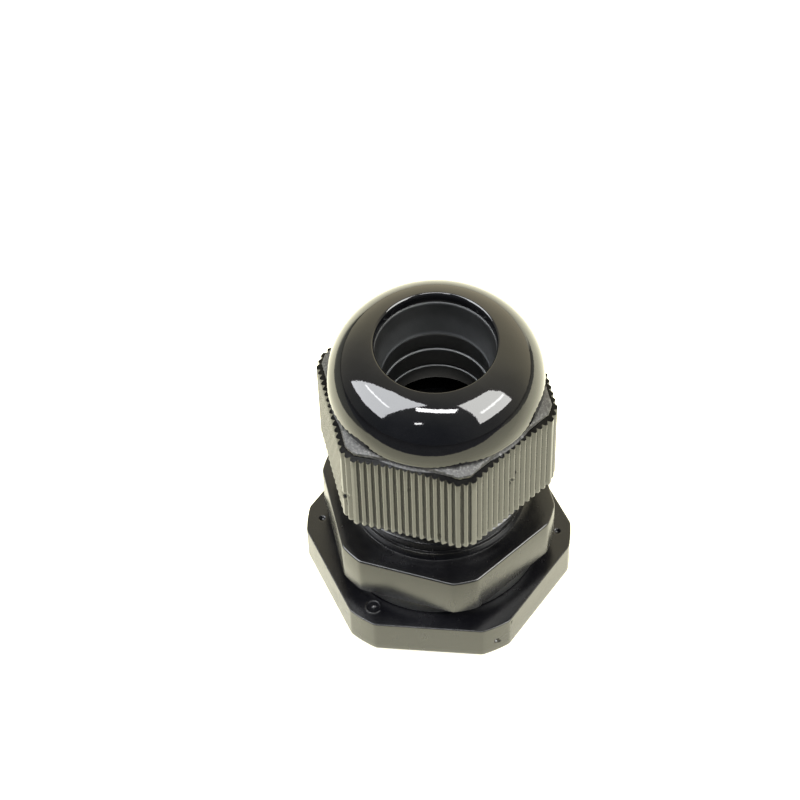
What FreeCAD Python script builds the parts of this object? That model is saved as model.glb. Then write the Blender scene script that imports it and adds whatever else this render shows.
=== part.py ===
import FreeCAD, Part
import math
import os

# Nylon cable gland, M20 x 1.5 entry thread.
# Frame: origin on the axis in the plane of the hexagon flange's underside,
# which is the face that seats on the panel through the gasket. +Z runs along
# the axis towards the domed cap, where the cable enters. Two of the body
# hexagon's corners lie on -Y and +Y.

V = FreeCAD.Vector
os.makedirs("parts", exist_ok=True)

# ---------------------------------------------------------------- dimensions
PITCH = 1.5                 # both threads, right hand
PHASE_DEG = -101.13         # azimuth at which the two phases below are given
CREST_HALF = 0.09           # half the width of a thread crest
FLANK_CLEARANCE = 0.10      # each side, along the axis

# entry thread of the body, M20 x 1.5
ENTRY_MAJOR_R = 10.0
ENTRY_ROOT_R = 9.05
ENTRY_LENGTH = 9.0
ENTRY_PHASE_Z = -4.2        # crest height at PHASE_DEG
BORE_R = 6.9                # clear way through the body

# wrench hexagon that is also the flange
FLANGE_AF = 23.7
FLANGE_CORNER_R = 12.95
FLANGE_HEIGHT = 5.55
FLANGE_CORNER_DEG = -90.0
FLANGE_EDGE = 0.3           # rounding of the top edge

# upper thread of the body, which carries the cap
NECK_R = 9.3
THREAD_FROM_Z = 9.0
THREAD_TO_Z = 16.0
UPPER_MAJOR_R = 10.2
UPPER_ROOT_R = 9.25
UPPER_PHASE_Z = 7.63        # crest height at PHASE_DEG
CROWN_R = 9.0               # ring that the clamp fingers stand on
CROWN_TOP_Z = 16.5
POCKET_R = 7.65             # pocket in which the rubber insert seats
POCKET_FLOOR_Z = 13.3

# clamp fingers
FINGERS = 12
FINGER_TIP_Z = 23.5
FINGER_R = 9.0
FINGER_TIP_R = 8.2
FINGER_TAPER_Z = 21.8
FINGER_SLOT = 0.95
FINGER_ROOT_GAP = 0.03

# domed cap
CAP_BOTTOM_Z = 12.0
CAP_CORNER_DEG = -89.38
CAP_CORE_APOTHEM = 11.0     # to the floors of the grip grooves
CAP_CORE_CORNER_R = 12.33
RIB_HEIGHT = 0.57
RIBS = 96
RIB_TOP_Z = 24.0            # where the rib tops' cone meets RIB_TOP_R
RIB_TOP_R = 11.5
RIB_TOP_SLOPE = 0.36        # the rib tops fall outwards by this much per mm
RIB_CREST = 0.10            # width of the crest's flat
RIB_FLOOR = 0.06            # width of the groove's floor
SHOULDER_EDGE_Z = 24.2
DOME_BASE_R = 11.36
DOME_BASE_Z = 24.93
DOME_R = 6.0                # radius of the dome's rounding
DOME_ARC_Z = 25.27          # height of its centre, where the short drum ends
LIP_R = 6.44                # where the dome's crown meets the mouth
DOME_TOP_Z = DOME_ARC_Z + math.sqrt(DOME_R ** 2 - (LIP_R - DOME_BASE_R + DOME_R) ** 2)
MOUTH_R = 6.3
CAP_CEILING_Z = 29.82
CAP_RAMP_Z = 26.8
CAP_BORE_R = 9.60
CAP_CEILING_R = 7.75
CAP_THREAD_TO_Z = 21.0
CAP_MINOR_R = 9.50
CAP_GROOVE_R = 10.34

# rubber insert
INSERT_TOP_Z = 29.73
INSERT_BOTTOM_Z = 18.0
INSERT_R = 7.5
COLLAR_R = 8.3
COLLAR_Z = 28.2
INSERT_MOUTH_R = 6.30
FUNNEL_R = 5.71
FUNNEL_Z = 25.3
BEAD_1_R, BEAD_1_Z = 5.61, 22.7
BEAD_2_R, BEAD_2_Z = 5.48, 20.1
GROOVE_R = 6.05

# flat gasket
GASKET_R = 11.5
GASKET_HOLE_R = 10.15
GASKET_TOP_Z = -0.03
GASKET_BOTTOM_Z = -2.08

# locknut
NUT_AF = 27.0
NUT_CORNER_R = 14.725
NUT_TOP_Z = -2.137
NUT_BOTTOM_Z = -6.972
NUT_CORNER_DEG = -17.85
NUT_MINOR_R = 9.30
NUT_GROOVE_R = 10.14
NUT_EDGE = 0.25


# ------------------------------------------------------------------- helpers
def polar(r, deg, z=0.0):
    a = math.radians(deg)
    return V(r * math.cos(a), r * math.sin(a), z)


def revolve(points):
    """Closed (r, z) outline turned about the axis."""
    wire = Part.makePolygon([V(r, 0, z) for r, z in points] + [V(points[0][0], 0, points[0][1])])
    return Part.Face(wire).revolve(V(0, 0, 0), V(0, 0, 1), 360)


def cylinder(r, z0, z1):
    return Part.makeCylinder(r, z1 - z0, V(0, 0, z0))


def hexagon(af, corner_deg, z0, z1):
    r = af / 2 / math.cos(math.radians(30))
    pts = [polar(r, corner_deg + 60 * k, z0) for k in range(6)]
    return Part.Face(Part.makePolygon(pts + [pts[0]])).extrude(V(0, 0, z1 - z0))


def helical(profile, z_ref, z0, z1):
    """Solid swept along the thread's helix.

    profile is a list of (r, dz) about the crest line, which is at z_ref at
    PHASE_DEG. The sweep runs past z0 and z1, so that it can be trimmed.
    """
    turns_low = math.ceil((z_ref - z0) / PITCH) + 1
    start = z_ref - turns_low * PITCH
    height = (math.ceil((z1 - start) / PITCH) + 1) * PITCH
    helix = Part.makeHelix(PITCH, height, 10.0)
    wire = Part.makePolygon([V(r, 0, dz) for r, dz in profile] + [V(profile[0][0], 0, profile[0][1])])
    solid = Part.Wire(helix.Edges).makePipeShell([wire], True, True)
    solid.rotate(V(0, 0, 0), V(0, 0, 1), PHASE_DEG)
    solid.translate(V(0, 0, start))
    if solid.Volume < 0:
        solid.reverse()
    return solid


def ridge(root_r, crest_r, z_ref, z0, z1):
    """External thread ridge with 60 degree flanks, sunk a little into the core."""
    t = math.tan(math.radians(30))
    sunk = root_r - 0.15
    foot = CREST_HALF + (crest_r - sunk) * t
    return helical([(sunk, -foot), (crest_r, -CREST_HALF), (crest_r, CREST_HALF), (sunk, foot)], z_ref, z0, z1)


def groove(minor_r, bottom_r, z_ref, z0, z1):
    """Cutter for an internal thread, wider than the ridge by the thread's clearance."""
    t = math.tan(math.radians(30))
    half = CREST_HALF + FLANK_CLEARANCE
    inner = minor_r - 0.1
    mouth = half + (bottom_r - inner) * t
    return helical([(inner, -mouth), (bottom_r, -half), (bottom_r, half), (inner, mouth)], z_ref, z0, z1)


def one(shape, what):
    """The single solid in a shape, checked."""
    solids = shape.Solids
    if len(solids) != 1 or not solids[0].isValid():
        raise RuntimeError("%s: %d solids" % (what, len(solids)))
    return solids[0]


def export(name, shape):
    shape.exportStep("parts/%s.step" % name)
    b = shape.BoundBox
    print("%-20s volume %9.2f  x %.2f..%.2f  y %.2f..%.2f  z %.2f..%.2f  valid %s" % (
        name, shape.Volume, b.XMin, b.XMax, b.YMin, b.YMax, b.ZMin, b.ZMax, shape.isValid()))


# ---------------------------------------------------------------- gland body
def make_body():
    blank = revolve([
        (BORE_R, -ENTRY_LENGTH),
        (ENTRY_ROOT_R, -ENTRY_LENGTH),
        (ENTRY_ROOT_R, 0.0),
        (ENTRY_ROOT_R, 0.3),
        (NECK_R, 0.3),
        (NECK_R, THREAD_FROM_Z - 0.1),
        (UPPER_ROOT_R, THREAD_FROM_Z - 0.1),
        (UPPER_ROOT_R, THREAD_TO_Z),
        (CROWN_R, THREAD_TO_Z + 0.2),
        (CROWN_R, CROWN_TOP_Z),
        (POCKET_R, CROWN_TOP_Z),
        (POCKET_R, POCKET_FLOOR_Z),
        (BORE_R, POCKET_FLOOR_Z),
    ])
    # flange: hexagon with its corners turned off and its top edge rounded
    flange = hexagon(FLANGE_AF, FLANGE_CORNER_DEG, 0.0, FLANGE_HEIGHT)
    flange = flange.common(cylinder(FLANGE_CORNER_R, 0.0, FLANGE_HEIGHT))
    top = [e for e in flange.Edges if all(abs(v.Z - FLANGE_HEIGHT) < 1e-6 for v in e.Vertexes)]
    flange = flange.makeFillet(FLANGE_EDGE, top)
    flange = flange.cut(cylinder(ENTRY_ROOT_R - 0.5, -1, FLANGE_HEIGHT + 1))
    body = blank.fuse(flange)

    # entry thread, trimmed with a 45 degree lead
    lead = 0.9
    trim = revolve([
        (ENTRY_ROOT_R - 0.6, -ENTRY_LENGTH),
        (ENTRY_MAJOR_R - lead, -ENTRY_LENGTH),
        (ENTRY_MAJOR_R + 0.1, -ENTRY_LENGTH + lead + 0.1),
        (ENTRY_MAJOR_R + 0.1, 0.1),
        (ENTRY_ROOT_R - 0.6, 0.1),
    ])
    entry = ridge(ENTRY_ROOT_R, ENTRY_MAJOR_R, ENTRY_PHASE_Z, -ENTRY_LENGTH, 0.1).common(trim)
    # upper thread, with leads at both ends
    trim = revolve([
        (UPPER_ROOT_R - 0.6, THREAD_FROM_Z),
        (UPPER_ROOT_R, THREAD_FROM_Z),
        (UPPER_MAJOR_R + 0.1, THREAD_FROM_Z + 1.05),
        (UPPER_MAJOR_R + 0.1, THREAD_TO_Z - 1.05),
        (UPPER_ROOT_R, THREAD_TO_Z),
        (UPPER_ROOT_R - 0.6, THREAD_TO_Z),
    ])
    upper = ridge(UPPER_ROOT_R, UPPER_MAJOR_R, UPPER_PHASE_Z, THREAD_FROM_Z, THREAD_TO_Z).common(trim)
    return one(body.fuse([entry, upper]), "gland_body")


# -------------------------------------------------------------- clamp finger
def make_finger(k):
    blank = revolve([
        (POCKET_R, CROWN_TOP_Z + FINGER_ROOT_GAP),
        (FINGER_R, CROWN_TOP_Z + FINGER_ROOT_GAP),
        (FINGER_R, FINGER_TAPER_Z),
        (FINGER_TIP_R, FINGER_TIP_Z),
        (POCKET_R, FINGER_TIP_Z),
    ])
    # wedge between two parallel-sided slots
    half = 180.0 / FINGERS
    s = FINGER_SLOT / 2
    far = 14.0
    z0, z1 = CROWN_TOP_Z - 1, FINGER_TIP_Z + 1
    a, b = math.radians(-half), math.radians(half)
    # each side runs parallel to the slot's middle line, half a slot inside it
    p0 = V(s / math.sin(math.radians(half)), 0, z0)
    pa = V(far * math.cos(a) - s * math.sin(a), far * math.sin(a) + s * math.cos(a), z0)
    pb = V(far * math.cos(b) + s * math.sin(b), far * math.sin(b) - s * math.cos(b), z0)
    wedge = Part.Face(Part.makePolygon([p0, pa, pb, p0])).extrude(V(0, 0, z1 - z0))
    finger = blank.common(wedge)
    finger.rotate(V(0, 0, 0), V(0, 0, 1), 360.0 / FINGERS * k)
    return one(finger, "clamp_finger")


# ------------------------------------------------------------------ dome cap
def cap_outline():
    """Grip outline: (crest and groove points) round the hexagon with turned corners."""
    a, r = CAP_CORE_APOTHEM, CAP_CORE_CORNER_R
    half = math.acos(a / r)
    flat = 2 * r * math.sin(half)
    arc = r * 2 * (math.radians(30) - half)
    side = flat + arc
    per = RIBS // 6

    def at(s):
        """Point and outward normal at distance s from a corner's middle."""
        k = math.floor(s / side)
        d = s - k * side
        corner = math.radians(CAP_CORNER_DEG + 60 * k)
        if d < arc / 2:
            t = corner + d / r
            return V(r * math.cos(t), r * math.sin(t), 0), V(math.cos(t), math.sin(t), 0)
        if d > side - arc / 2:
            t = corner + math.radians(60) - (side - d) / r
            return V(r * math.cos(t), r * math.sin(t), 0), V(math.cos(t), math.sin(t), 0)
        m = corner + math.radians(30)
        n = V(math.cos(m), math.sin(m), 0)
        u = V(-math.sin(m), math.cos(m), 0)
        return n * a + u * (d - side / 2), n

    step = side / per
    pts = []
    for i in range(RIBS):
        s = i * step
        for off, h in ((-RIB_CREST / 2, RIB_HEIGHT), (RIB_CREST / 2, RIB_HEIGHT),
                       (step / 2 - RIB_FLOOR / 2, 0.0), (step / 2 + RIB_FLOOR / 2, 0.0)):
            p, n = at((s + off) % (6 * side))
            pts.append(p + n * h)
    return pts


def make_cap():
    # grip section
    pts = [V(p.x, p.y, CAP_BOTTOM_Z) for p in cap_outline()]
    ribs = Part.Face(Part.makePolygon(pts + [pts[0]])).extrude(V(0, 0, RIB_TOP_Z + 0.4 - CAP_BOTTOM_Z))
    # the rib tops are turned to a shallow cone
    far = 16.0
    ribs = ribs.common(revolve([
        (0, CAP_BOTTOM_Z - 1), (far, CAP_BOTTOM_Z - 1), (far, RIB_TOP_Z - RIB_TOP_SLOPE * (far - RIB_TOP_R)),
        (CAP_CORE_APOTHEM - 0.6, RIB_TOP_Z + RIB_TOP_SLOPE * (RIB_TOP_R - CAP_CORE_APOTHEM + 0.6)),
        (0, RIB_TOP_Z + RIB_TOP_SLOPE * (RIB_TOP_R - CAP_CORE_APOTHEM + 0.6))]))
    # plain hexagon above the ribs, with a turned chamfer up to the dome
    core = hexagon(2 * CAP_CORE_APOTHEM, CAP_CORNER_DEG, RIB_TOP_Z - 0.5, DOME_BASE_Z)
    core = core.common(revolve([
        (0, RIB_TOP_Z - 0.5), (CAP_CORE_CORNER_R, RIB_TOP_Z - 0.5), (CAP_CORE_CORNER_R, SHOULDER_EDGE_Z),
        (DOME_BASE_R - 0.15, DOME_BASE_Z - 0.35), (0, DOME_BASE_Z - 0.35)]))
    # dome: a short drum, then one arc up to the mouth's lip
    cx = DOME_BASE_R - DOME_R
    end = math.acos((LIP_R - cx) / DOME_R)
    arc = [V(cx + DOME_R * math.cos(t), 0, DOME_ARC_Z + DOME_R * math.sin(t)) for t in (0, end / 2, end)]
    dome_pts = [V(0, 0, DOME_BASE_Z - 0.8), V(DOME_BASE_R - 0.35, 0, DOME_BASE_Z - 0.8),
                V(DOME_BASE_R - 0.35, 0, DOME_BASE_Z - 0.25), V(DOME_BASE_R, 0, DOME_BASE_Z), arc[0]]
    edges = [Part.LineSegment(dome_pts[i], dome_pts[i + 1]).toShape() for i in range(4)]
    edges.append(Part.Arc(*arc).toShape())
    edges.append(Part.LineSegment(arc[2], V(0, 0, arc[2].z)).toShape())
    edges.append(Part.LineSegment(V(0, 0, arc[2].z), dome_pts[0]).toShape())
    dome = Part.Face(Part.Wire(edges)).revolve(V(0, 0, 0), V(0, 0, 1), 360)
    cap = ribs.fuse([core, dome])
    # turned chamfer on the ribs' lower ends
    big = 16.0
    chamfer = revolve([
        (big, CAP_BOTTOM_Z - 1), (big, CAP_BOTTOM_Z + 0.0), (CAP_CORE_CORNER_R + RIB_HEIGHT + 0.02, CAP_BOTTOM_Z + 0.45),
        (CAP_CORE_CORNER_R - 0.1, CAP_BOTTOM_Z), (CAP_CORE_CORNER_R - 0.1, CAP_BOTTOM_Z - 1)])
    cap = cap.cut(chamfer)
    # inside: entry bore, thread, clearance for the fingers, ramp, ceiling, mouth
    inside = revolve([
        (0, CAP_BOTTOM_Z - 1), (CAP_GROOVE_R + 0.06, CAP_BOTTOM_Z - 1), (CAP_GROOVE_R + 0.06, CAP_BOTTOM_Z + 0.1),
        (CAP_MINOR_R, CAP_BOTTOM_Z + 1.1), (CAP_MINOR_R, CAP_THREAD_TO_Z + 0.3), (CAP_BORE_R, CAP_THREAD_TO_Z + 0.5),
        (CAP_BORE_R, CAP_RAMP_Z), (CAP_CEILING_R, CAP_CEILING_Z), (MOUTH_R, CAP_CEILING_Z),
        (MOUTH_R, DOME_TOP_Z - 0.2), (LIP_R + 0.03, DOME_TOP_Z + 0.03), (LIP_R + 0.03, DOME_TOP_Z + 1), (0, DOME_TOP_Z + 1)])
    cap = cap.cut(inside)
    lead = CAP_MINOR_R - 0.5
    trim = cylinder(CAP_GROOVE_R + 0.5, CAP_BOTTOM_Z - 0.5, CAP_THREAD_TO_Z).cut(
        cylinder(lead, CAP_BOTTOM_Z - 1, CAP_THREAD_TO_Z + 1))
    cutter = groove(CAP_MINOR_R, CAP_GROOVE_R, UPPER_PHASE_Z, CAP_BOTTOM_Z, CAP_THREAD_TO_Z).common(trim)
    cap = cap.cut(cutter)
    return one(cap, "dome_cap")


# ------------------------------------------------------------- rubber insert
def make_insert():
    return one(revolve([
        (INSERT_MOUTH_R, INSERT_TOP_Z),
        (FUNNEL_R, FUNNEL_Z),
        (FUNNEL_R + 0.05, FUNNEL_Z - 0.15),
        (GROOVE_R, FUNNEL_Z - 0.5),
        (GROOVE_R, BEAD_1_Z + 0.5),
        (BEAD_1_R, BEAD_1_Z),
        (BEAD_1_R + 0.03, BEAD_1_Z - 0.15),
        (GROOVE_R - 0.07, BEAD_1_Z - 0.5),
        (GROOVE_R - 0.07, BEAD_2_Z + 0.5),
        (BEAD_2_R, BEAD_2_Z),
        (BEAD_2_R, INSERT_BOTTOM_Z),
        (INSERT_R - 0.5, INSERT_BOTTOM_Z),
        (INSERT_R, INSERT_BOTTOM_Z + 0.5),
        (INSERT_R, COLLAR_Z),
        (COLLAR_R, COLLAR_Z),
        (COLLAR_R, COLLAR_Z + 0.2),
        (CAP_CEILING_R - 0.3, INSERT_TOP_Z),
    ]), "sealing_insert")


# -------------------------------------------------------------------- gasket
def make_gasket():
    return one(revolve([
        (GASKET_HOLE_R, GASKET_BOTTOM_Z), (GASKET_R, GASKET_BOTTOM_Z),
        (GASKET_R, GASKET_TOP_Z), (GASKET_HOLE_R, GASKET_TOP_Z)]), "panel_gasket")


# ------------------------------------------------------------------- locknut
def make_locknut():
    nut = hexagon(NUT_AF, NUT_CORNER_DEG, NUT_BOTTOM_Z, NUT_TOP_Z)
    nut = nut.common(cylinder(NUT_CORNER_R, NUT_BOTTOM_Z, NUT_TOP_Z))
    rim = [e for e in nut.Edges
           if all(abs(v.Z - NUT_TOP_Z) < 1e-6 for v in e.Vertexes) or all(abs(v.Z - NUT_BOTTOM_Z) < 1e-6 for v in e.Vertexes)]
    nut = nut.makeFillet(NUT_EDGE, rim)
    nut = nut.cut(cylinder(NUT_MINOR_R, NUT_BOTTOM_Z - 1, NUT_TOP_Z + 1))
    trim = cylinder(NUT_GROOVE_R + 0.5, NUT_BOTTOM_Z - 0.5, NUT_TOP_Z + 0.5).cut(
        cylinder(NUT_MINOR_R - 0.5, NUT_BOTTOM_Z - 1, NUT_TOP_Z + 1))
    cutter = groove(NUT_MINOR_R, NUT_GROOVE_R, ENTRY_PHASE_Z, NUT_BOTTOM_Z, NUT_TOP_Z).common(trim)
    nut = nut.cut(cutter)
    # 45 degree leads at both mouths of the thread
    w = NUT_GROOVE_R + 0.06
    deep = w - (NUT_MINOR_R - 0.5)
    nut = nut.cut(revolve([
        (0, NUT_BOTTOM_Z - 1), (w, NUT_BOTTOM_Z - 1), (w, NUT_BOTTOM_Z + 0.05),
        (NUT_MINOR_R - 0.5, NUT_BOTTOM_Z + 0.05 + 0.75 * deep), (0, NUT_BOTTOM_Z + 0.05 + 0.75 * deep)]))
    nut = nut.cut(revolve([
        (0, NUT_TOP_Z + 1), (w, NUT_TOP_Z + 1), (w, NUT_TOP_Z - 0.05),
        (NUT_MINOR_R - 0.5, NUT_TOP_Z - 0.05 - 0.75 * deep), (0, NUT_TOP_Z - 0.05 - 0.75 * deep)]))
    return one(nut, "locknut")


export("gland_body", make_body())
for k in range(FINGERS):
    export("clamp_finger_%02d" % (k + 1), make_finger(k))
export("dome_cap", make_cap())
export("sealing_insert", make_insert())
export("panel_gasket", make_gasket())
export("locknut", make_locknut())
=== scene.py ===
import math

import bmesh
import bpy
import numpy as np
from mathutils import Matrix, Vector


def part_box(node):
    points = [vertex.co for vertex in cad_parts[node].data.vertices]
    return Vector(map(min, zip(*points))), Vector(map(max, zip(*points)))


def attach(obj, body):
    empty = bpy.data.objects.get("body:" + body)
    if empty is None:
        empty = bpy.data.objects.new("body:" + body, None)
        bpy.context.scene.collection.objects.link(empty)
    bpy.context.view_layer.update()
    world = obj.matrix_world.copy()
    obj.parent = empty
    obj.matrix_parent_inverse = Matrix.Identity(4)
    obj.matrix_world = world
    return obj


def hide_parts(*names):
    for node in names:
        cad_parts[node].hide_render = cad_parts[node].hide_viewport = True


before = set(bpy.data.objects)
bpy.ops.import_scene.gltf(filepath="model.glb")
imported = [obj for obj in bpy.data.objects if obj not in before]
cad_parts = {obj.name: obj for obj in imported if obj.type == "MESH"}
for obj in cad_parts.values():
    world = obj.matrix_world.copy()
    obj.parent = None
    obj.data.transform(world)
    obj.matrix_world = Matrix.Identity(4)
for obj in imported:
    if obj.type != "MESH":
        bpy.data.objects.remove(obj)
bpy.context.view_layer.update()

MM = 0.001
PITCH = 1.5
PHASE = -101.13          # azimuth, in degrees, at which the thread phases are given
TAU = 2 * math.pi

# heights and sizes in millimetres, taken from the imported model's boxes
body_lo, body_hi = [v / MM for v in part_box("gland_body")]
cap_lo, cap_hi = [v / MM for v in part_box("dome_cap")]
nut_lo, nut_hi = [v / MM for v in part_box("locknut")]
ins_lo, ins_hi = [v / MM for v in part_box("sealing_insert")]
gsk_lo, gsk_hi = [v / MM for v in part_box("panel_gasket")]
fin_lo, fin_hi = [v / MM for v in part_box("clamp_finger_01")]


# ---------------------------------------------------------------------- camera
def make_camera():
    """Camera at the photograph's viewing angle, about 0.3 m from the gland."""
    f_px, elev, roll = 2680.07, math.radians(53.05), math.radians(-2.04)
    tx, ty, tz = 4.415, -16.989, 303.242
    back = Vector((0, -math.cos(elev), math.sin(elev)))
    right = Vector((1, 0, 0))
    up = back.cross(right)
    r0 = right * math.cos(roll) + up * math.sin(roll)
    r1 = -right * math.sin(roll) + up * math.cos(roll)
    place = -tx * r0 - ty * r1 + tz * back
    turn = Matrix.Rotation(math.radians(-11.13), 4, "Z")
    lift = nut_lo.z      # the fitted heights count from the locknut's underside
    m = Matrix.Identity(4)
    for i in range(3):
        m[i][0], m[i][1], m[i][2], m[i][3] = r0[i], r1[i], back[i], place[i]
    m = turn @ m
    m.translation = (m.translation + Vector((0, 0, lift))) * MM
    data = bpy.data.cameras.new("camera")
    data.sensor_width = 36.0
    data.lens = f_px * 36.0 / 800.0
    data.clip_start, data.clip_end = 0.01, 20.0
    cam = bpy.data.objects.new("camera", data)
    bpy.context.scene.collection.objects.link(cam)
    cam.matrix_world = m
    bpy.context.scene.camera = cam
    return cam


# ------------------------------------------------------------------ mesh tools
def finish_mesh(name, verts, faces, body, node=None, sharp=38.0, weld=2e-6):
    """Object from millimetre vertices: welded, degenerate faces dropped, shaded by angle."""
    mesh = bpy.data.meshes.new(name)
    mesh.from_pydata((np.asarray(verts) * MM).tolist(), [], [list(map(int, f)) for f in faces])
    bm = bmesh.new()
    bm.from_mesh(mesh)
    bmesh.ops.remove_doubles(bm, verts=bm.verts, dist=weld)
    bmesh.ops.dissolve_degenerate(bm, edges=bm.edges, dist=weld / 2)
    bmesh.ops.recalc_face_normals(bm, faces=bm.faces)
    limit = math.radians(sharp)
    for f in bm.faces:
        f.smooth = True
    for e in bm.edges:
        if len(e.link_faces) == 2:
            e.smooth = e.calc_face_angle(0.0) < limit
    bm.to_mesh(mesh)
    bm.free()
    obj = bpy.data.objects.new(name, mesh)
    bpy.context.scene.collection.objects.link(obj)
    return obj


def skin(rows, closed_rows=True):
    """Surface through rows of points: rows is (K, N, 3), each row running round the axis once with
    its last point a whole turn after its first."""
    rows = np.asarray(rows, float)
    k, n = rows.shape[:2]
    idx = np.arange(k * n).reshape(k, n)
    faces = []
    last = k if closed_rows else k - 1
    for a in range(last):
        b = (a + 1) % k
        q = np.stack([idx[a, :-1], idx[a, 1:], idx[b, 1:], idx[b, :-1]], 1)
        faces.append(q)
    return rows.reshape(-1, 3), np.concatenate(faces)


def ring(theta, r, z):
    """One row: r and z are numbers or arrays over theta."""
    r = np.broadcast_to(np.asarray(r, float), theta.shape)
    z = np.broadcast_to(np.asarray(z, float), theta.shape)
    return np.stack([r * np.cos(theta), r * np.sin(theta), z], 1)


def angles(step_deg, extra=(), spread=2.2, count=7):
    """Angles over one turn, denser round the given ones, the last a whole turn after the first."""
    base = list(np.arange(0, 360, step_deg))
    for e in extra:
        base += [(e + d) % 360 for d in np.linspace(-spread, spread, count)]
    a = np.array(sorted(base))
    keep = [a[0]]
    for x in a[1:]:
        if x - keep[-1] > 0.12:
            keep.append(x)
    if 360 - keep[-1] + keep[0] < 0.12:
        keep.pop()
    a = np.array(keep)
    return np.radians(np.append(a, a[0] + 360))


def hex_r(theta, apothem, corner_r, corner_deg, soft=0.05):
    """Radius of a hexagon with turned corners, its edges softened."""
    t = np.degrees(theta) - corner_deg
    d = (t % 60) - 30
    flat = apothem / np.cos(np.radians(d))
    k = 1.0 / soft
    m = np.minimum(flat, corner_r)
    return m - np.log(np.exp(-k * (flat - m)) + np.exp(-k * (corner_r - m))) / k


def hex_edges(apothem, corner_r, corner_deg):
    half = 30 - math.degrees(math.acos(apothem / corner_r))
    out = []
    for k in range(6):
        out += [corner_deg + 60 * k - half, corner_deg + 60 * k + half]
    return out


def thread_rows(theta, root, crest, phase_z, z0, z1, lead0, lead1, internal=False, clearance=0.0):
    """Rows of a right-hand thread between z0 and z1, going up.

    Every row follows the helix. Rows past the ends fold onto the end circles, and the thread fades
    to its core radius there: root outside, and the bore (root is then the minor radius) inside."""
    w = clearance
    prof = [(-0.75, 0.0), (-0.665 - w * 0.5, 0.0), (-0.61 - w, 0.045), (-0.45 - w, 0.31), (-0.25 - w, 0.68),
            (-0.135 - w, 0.90), (-0.08 - w, 0.985), (0.0, 1.0), (0.08 + w, 0.985), (0.135 + w, 0.90),
            (0.25 + w, 0.68), (0.45 + w, 0.31), (0.61 + w, 0.045), (0.665 + w * 0.5, 0.0)]
    lift = (np.degrees(theta) - PHASE) / 360.0 * PITCH
    first = math.floor((z0 - phase_z - PITCH * 3) / PITCH)
    last = math.ceil((z1 - phase_z + PITCH * 3) / PITCH)
    rows = []
    for turn in range(first, last + 1):
        for dz, h in prof:
            z = phase_z + turn * PITCH + dz + lift
            zc = np.clip(z, z0, z1)
            f0 = np.clip((zc - z0) / lead0, 0, 1)
            f1 = np.clip((z1 - zc) / lead1, 0, 1)
            fade = np.minimum(f0 * f0 * (3 - 2 * f0), f1 * f1 * (3 - 2 * f1))
            r = root + (crest - root) * h * fade
            rows.append(ring(theta, r, zc))
    rows = np.array(rows)
    # rows wholly folded onto an end add nothing
    keep = [i for i in range(len(rows)) if rows[i][:, 2].max() > z0 + 1e-9 and rows[i][:, 2].min() < z1 - 1e-9]
    return [ring(theta, root, z0)] + [rows[i] for i in keep] + [ring(theta, root, z1)]


def arc(cx, cz, r, a0, a1, n):
    """(r, z) points of an arc in the half plane, angles in degrees."""
    return [(cx + r * math.cos(math.radians(a)), cz + r * math.sin(math.radians(a))) for a in np.linspace(a0, a1, n)]


# ------------------------------------------------------------------ gland body
FL_A, FL_R, FL_H, FL_C = 11.85, 12.95, 5.55, -90.0


def make_body():
    th = angles(1.5, hex_edges(FL_A, FL_R, FL_C))
    low, top = body_lo.z, 16.5
    rows = []
    # bore mouth and end ring
    rows.append(ring(th, 6.9, low + 0.25))
    rows.append(ring(th, 7.0, low + 0.07))
    rows.append(ring(th, 7.2, low))
    rows.append(ring(th, 8.75, low))
    rows.append(ring(th, 8.93, low + 0.06))
    rows += thread_rows(th, 9.05, 10.0, -4.2, low + 0.18, -0.1, 1.0, 0.9)
    rows.append(ring(th, 9.07, 0.0))

    def hx(d, z):
        return ring(th, hex_r(th, FL_A - d, FL_R - d, FL_C), z)
    # underside, side and rounded top edge
    for d, z in ((2.2, 0.0), (0.22, 0.0), (0.10, 0.02), (0.02, 0.09), (0.0, 0.2), (0.0, 2.6), (0.0, FL_H - 0.25),
                 (0.013, FL_H - 0.17), (0.045, FL_H - 0.10), (0.095, FL_H - 0.045), (0.16, FL_H - 0.013),
                 (0.23, FL_H), (0.8, FL_H)):
        rows.append(hx(d, z))
    # low collar round the foot of the neck, plain neck, thread
    rows.append(ring(th, 10.5, FL_H))
    rows.append(ring(th, 9.85, FL_H))
    rows.append(ring(th, 9.72, FL_H + 0.05))
    rows.append(ring(th, 9.65, FL_H + 0.17))
    rows.append(ring(th, 9.63, 6.60))
    rows.append(ring(th, 9.615, 6.645))
    rows.append(ring(th, 9.575, 6.665))
    rows.append(ring(th, 9.36, 6.675))
    rows.append(ring(th, 9.29, 6.71))
    rows.append(ring(th, 9.28, 6.80))
    rows.append(ring(th, 9.28, 8.80))
    for r, z in ((9.5, 8.86), (10.0, 9.02), (10.12, 9.10), (10.16, 9.17), (10.12, 9.24), (10.0, 9.32), (9.5, 9.58), (9.26, 9.68)):
        rows.append(ring(th, r, z))
    rows += thread_rows(th, 9.25, 10.2, 7.63, 9.75, 15.95, 0.55, 1.0)
    rows.append(ring(th, 9.05, 16.1))
    rows.append(ring(th, 9.0, 16.25))
    rows.append(ring(th, 9.0, top - 0.1))
    rows.append(ring(th, 8.93, top - 0.02))
    rows.append(ring(th, 8.85, top))
    rows.append(ring(th, 7.85, top))
    rows.append(ring(th, 7.72, top - 0.03))
    rows.append(ring(th, 7.65, top - 0.12))
    rows.append(ring(th, 7.65, 13.5))
    rows.append(ring(th, 7.58, 13.33))
    rows.append(ring(th, 7.45, 13.3))
    rows.append(ring(th, 7.1, 13.3))
    rows.append(ring(th, 6.96, 13.24))
    rows.append(ring(th, 6.9, 13.1))
    v, f = skin(rows)
    return finish_mesh("gland_body_moulding", v, f, "gland_body")


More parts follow.
